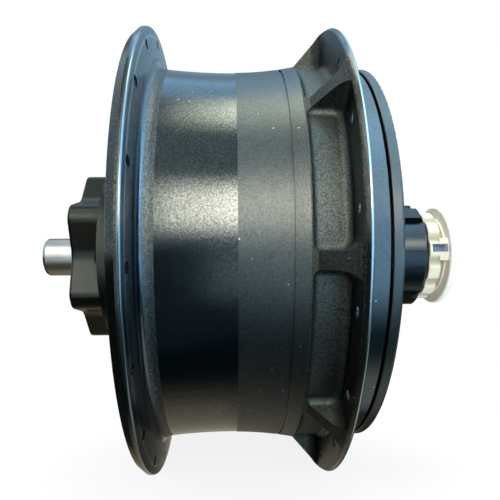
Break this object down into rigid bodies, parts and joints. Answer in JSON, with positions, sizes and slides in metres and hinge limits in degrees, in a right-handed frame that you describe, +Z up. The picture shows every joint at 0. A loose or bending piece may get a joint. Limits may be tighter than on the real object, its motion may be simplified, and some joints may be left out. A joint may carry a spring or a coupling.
{
  "type": "bicycle hub gear",
  "caption": "Bicycle rear hub with a stepless ball-drive gear inside, spoke flanges with ribs, a star-shaped disc brake mount, a splined sprocket driver and a shift pulley.",
  "frame": {"origin": "on the axle's axis, half-way between the two spoke flanges", "axes": "+X along the axle towards the drive side, +Z up, -Y towards the viewer"},
  "size_m": [0.1402, 0.1478, 0.1478],
  "materials": {
    "shell_enamel": "gloss black enamel on die-cast aluminium",
    "mount_enamel": "satin black enamel on aluminium",
    "cover_enamel": "satin grey-black anodised",
    "nickel": "nickel plated, fine turned",
    "dark_steel": "blued steel",
    "nylon": "natural nylon",
    "seal_rubber": "black nitrile rubber",
    "bearing_steel": "ground bearing steel",
    "traction_steel": "ground hardened steel",
    "ball_steel": "polished bearing steel",
    "carrier_aluminium": "machined",
    "shaft_steel": "ground",
    "cage_nylon": "glass-filled nylon"
  },
  "bodies": {
    "axle_unit": {"axle": "nickel", "brake_side_locknut": "nickel", "brake_bearing_inner": "bearing_steel", "fixed_stator": "carrier_aluminium", "sun_sleeve": "shaft_steel", "sun_bearing_inners": "bearing_steel", "nut_guide": "carrier_aluminium"},
    "shell_unit": {"hub_shell": "shell_enamel", "disc_mount": "mount_enamel", "brake_side_seal": "seal_rubber", "brake_bearing_outer": "bearing_steel", "brake_bearing_balls": "bearing_steel", "output_cam_plate": "traction_steel", "output_cam_balls": "ball_steel", "output_ring": "traction_steel", "hub_cover": "cover_enamel", "cover_o_ring": "seal_rubber", "cover_seal": "seal_rubber", "cover_bearing_outer": "bearing_steel"},
    "driver_unit": {"driver": "dark_steel", "cover_bearing_inner": "bearing_steel", "cover_bearing_balls": "bearing_steel", "driver_bearing_outers": "bearing_steel", "driver_bearing_balls": "bearing_steel", "driver_seal": "seal_rubber"},
    "input_unit": {"input_plate": "traction_steel", "input_cam_balls": "ball_steel", "input_ring": "traction_steel", "clutch_rollers": "shaft_steel", "clutch_cage": "cage_nylon"},
    "shifter": {"shift_sleeve": "shaft_steel", "shift_pulley": "nylon", "driver_bearing_inners": "bearing_steel"},
    "nut": {"shift_nut": "shaft_steel", "nut_pins": "shaft_steel"},
    "skew_carrier": {"skew_stator": "carrier_aluminium"},
    "sun": {"sun_roller": "traction_steel", "sun_bearing_outers": "bearing_steel", "sun_bearing_balls": "bearing_steel"},
    "tilt_1": {"ball_axle_1": "shaft_steel"},
    "ball_1": {"traction_ball_1": "ball_steel"},
    "tilt_2": {"ball_axle_2": "shaft_steel"},
    "ball_2": {"traction_ball_2": "ball_steel"},
    "tilt_3": {"ball_axle_3": "shaft_steel"},
    "ball_3": {"traction_ball_3": "ball_steel"},
    "tilt_4": {"ball_axle_4": "shaft_steel"},
    "ball_4": {"traction_ball_4": "ball_steel"},
    "tilt_5": {"ball_axle_5": "shaft_steel"},
    "ball_5": {"traction_ball_5": "ball_steel"},
    "tilt_6": {"ball_axle_6": "shaft_steel"},
    "ball_6": {"traction_ball_6": "ball_steel"},
    "tilt_7": {"ball_axle_7": "shaft_steel"},
    "ball_7": {"traction_ball_7": "ball_steel"},
    "tilt_8": {"ball_axle_8": "shaft_steel"},
    "ball_8": {"traction_ball_8": "ball_steel"}
  },
  "joints": [
    {"name": "shell_spin", "type": "hinge", "parent": "axle_unit", "child": "shell_unit", "pos_m": [0, 0, 0], "axis": [1, 0, 0], "continuous": true},
    {"name": "driver_spin", "type": "hinge", "parent": "axle_unit", "child": "driver_unit", "pos_m": [0, 0, 0], "axis": [1, 0, 0], "continuous": true},
    {"name": "input_spin", "type": "hinge", "parent": "axle_unit", "child": "input_unit", "pos_m": [0, 0, 0], "axis": [1, 0, 0], "continuous": true},
    {"name": "sun_spin", "type": "hinge", "parent": "axle_unit", "child": "sun", "pos_m": [0, 0, 0], "axis": [1, 0, 0], "continuous": true},
    {"name": "shift_turn", "type": "hinge", "parent": "axle_unit", "child": "shifter", "pos_m": [0, 0, 0], "axis": [1, 0, 0], "range_deg": [-92, 92]},
    {"name": "nut_slide", "type": "slide", "parent": "axle_unit", "child": "nut", "axis": [1, 0, 0], "range_m": [-0.00205, 0.00205]},
    {"name": "skew_turn", "type": "hinge", "parent": "axle_unit", "child": "skew_carrier", "pos_m": [0, 0, 0], "axis": [1, 0, 0], "range_deg": [-3.7, 3.7]},
    {"name": "tilt_turn_1", "type": "hinge", "parent": "axle_unit", "child": "tilt_1", "pos_m": [0, -0.03815, 0.00811], "axis": [0, -0.2079, -0.9781], "range_deg": [-18.5, 18.5]},
    {"name": "ball_spin_1", "type": "hinge", "parent": "tilt_1", "child": "ball_1", "pos_m": [0, -0.03815, 0.00811], "axis": [1, 0, 0], "continuous": true},
    {"name": "tilt_turn_2", "type": "hinge", "parent": "axle_unit", "child": "tilt_2", "pos_m": [0, -0.02124, 0.03271], "axis": [0, -0.8387, -0.5446], "range_deg": [-18.5, 18.5]},
    {"name": "ball_spin_2", "type": "hinge", "parent": "tilt_2", "child": "ball_2", "pos_m": [0, -0.02124, 0.03271], "axis": [1, 0, 0], "continuous": true},
    {"name": "tilt_turn_3", "type": "hinge", "parent": "axle_unit", "child": "tilt_3", "pos_m": [0, 0.00811, 0.03815], "axis": [0, -0.9781, 0.2079], "range_deg": [-18.5, 18.5]},
    {"name": "ball_spin_3", "type": "hinge", "parent": "tilt_3", "child": "ball_3", "pos_m": [0, 0.00811, 0.03815], "axis": [1, 0, 0], "continuous": true},
    {"name": "tilt_turn_4", "type": "hinge", "parent": "axle_unit", "child": "tilt_4", "pos_m": [0, 0.03271, 0.02124], "axis": [0, -0.5446, 0.8387], "range_deg": [-18.5, 18.5]},
    {"name": "ball_spin_4", "type": "hinge", "parent": "tilt_4", "child": "ball_4", "pos_m": [0, 0.03271, 0.02124], "axis": [1, 0, 0], "continuous": true},
    {"name": "tilt_turn_5", "type": "hinge", "parent": "axle_unit", "child": "tilt_5", "pos_m": [0, 0.03815, -0.00811], "axis": [0, 0.2079, 0.9781], "range_deg": [-18.5, 18.5]},
    {"name": "ball_spin_5", "type": "hinge", "parent": "tilt_5", "child": "ball_5", "pos_m": [0, 0.03815, -0.00811], "axis": [1, 0, 0], "continuous": true},
    {"name": "tilt_turn_6", "type": "hinge", "parent": "axle_unit", "child": "tilt_6", "pos_m": [0, 0.02124, -0.03271], "axis": [0, 0.8387, 0.5446], "range_deg": [-18.5, 18.5]},
    {"name": "ball_spin_6", "type": "hinge", "parent": "tilt_6", "child": "ball_6", "pos_m": [0, 0.02124, -0.03271], "axis": [1, 0, 0], "continuous": true},
    {"name": "tilt_turn_7", "type": "hinge", "parent": "axle_unit", "child": "tilt_7", "pos_m": [0, -0.00811, -0.03815], "axis": [0, 0.9781, -0.2079], "range_deg": [-18.5, 18.5]},
    {"name": "ball_spin_7", "type": "hinge", "parent": "tilt_7", "child": "ball_7", "pos_m": [0, -0.00811, -0.03815], "axis": [1, 0, 0], "continuous": true},
    {"name": "tilt_turn_8", "type": "hinge", "parent": "axle_unit", "child": "tilt_8", "pos_m": [0, -0.03271, -0.02124], "axis": [0, 0.5446, -0.8387], "range_deg": [-18.5, 18.5]},
    {"name": "ball_spin_8", "type": "hinge", "parent": "tilt_8", "child": "ball_8", "pos_m": [0, -0.03271, -0.02124], "axis": [1, 0, 0], "continuous": true}
  ],
  "couplings": [
    {"joint": "input_spin", "follows": "shell_spin", "ratio": 1},
    {"joint": "sun_spin", "follows": "shell_spin", "ratio": -2.7662},
    {"joint": "nut_slide", "follows": "shift_turn", "m_per_rad": 0.0012732},
    {"joint": "skew_turn", "follows": "shift_turn", "ratio": -0.04},
    {"joint": "tilt_turn_1", "follows": "shift_turn", "ratio": 0.2},
    {"joint": "ball_spin_1", "follows": "shell_spin", "ratio": 4.9396},
    {"joint": "tilt_turn_2", "follows": "shift_turn", "ratio": 0.2},
    {"joint": "ball_spin_2", "follows": "shell_spin", "ratio": 4.9396},
    {"joint": "tilt_turn_3", "follows": "shift_turn", "ratio": 0.2},
    {"joint": "ball_spin_3", "follows": "shell_spin", "ratio": 4.9396},
    {"joint": "tilt_turn_4", "follows": "shift_turn", "ratio": 0.2},
    {"joint": "ball_spin_4", "follows": "shell_spin", "ratio": 4.9396},
    {"joint": "tilt_turn_5", "follows": "shift_turn", "ratio": 0.2},
    {"joint": "ball_spin_5", "follows": "shell_spin", "ratio": 4.9396},
    {"joint": "tilt_turn_6", "follows": "shift_turn", "ratio": 0.2},
    {"joint": "ball_spin_6", "follows": "shell_spin", "ratio": 4.9396},
    {"joint": "tilt_turn_7", "follows": "shift_turn", "ratio": 0.2},
    {"joint": "ball_spin_7", "follows": "shell_spin", "ratio": 4.9396},
    {"joint": "tilt_turn_8", "follows": "shift_turn", "ratio": 0.2},
    {"joint": "ball_spin_8", "follows": "shell_spin", "ratio": 4.9396}
  ]
}
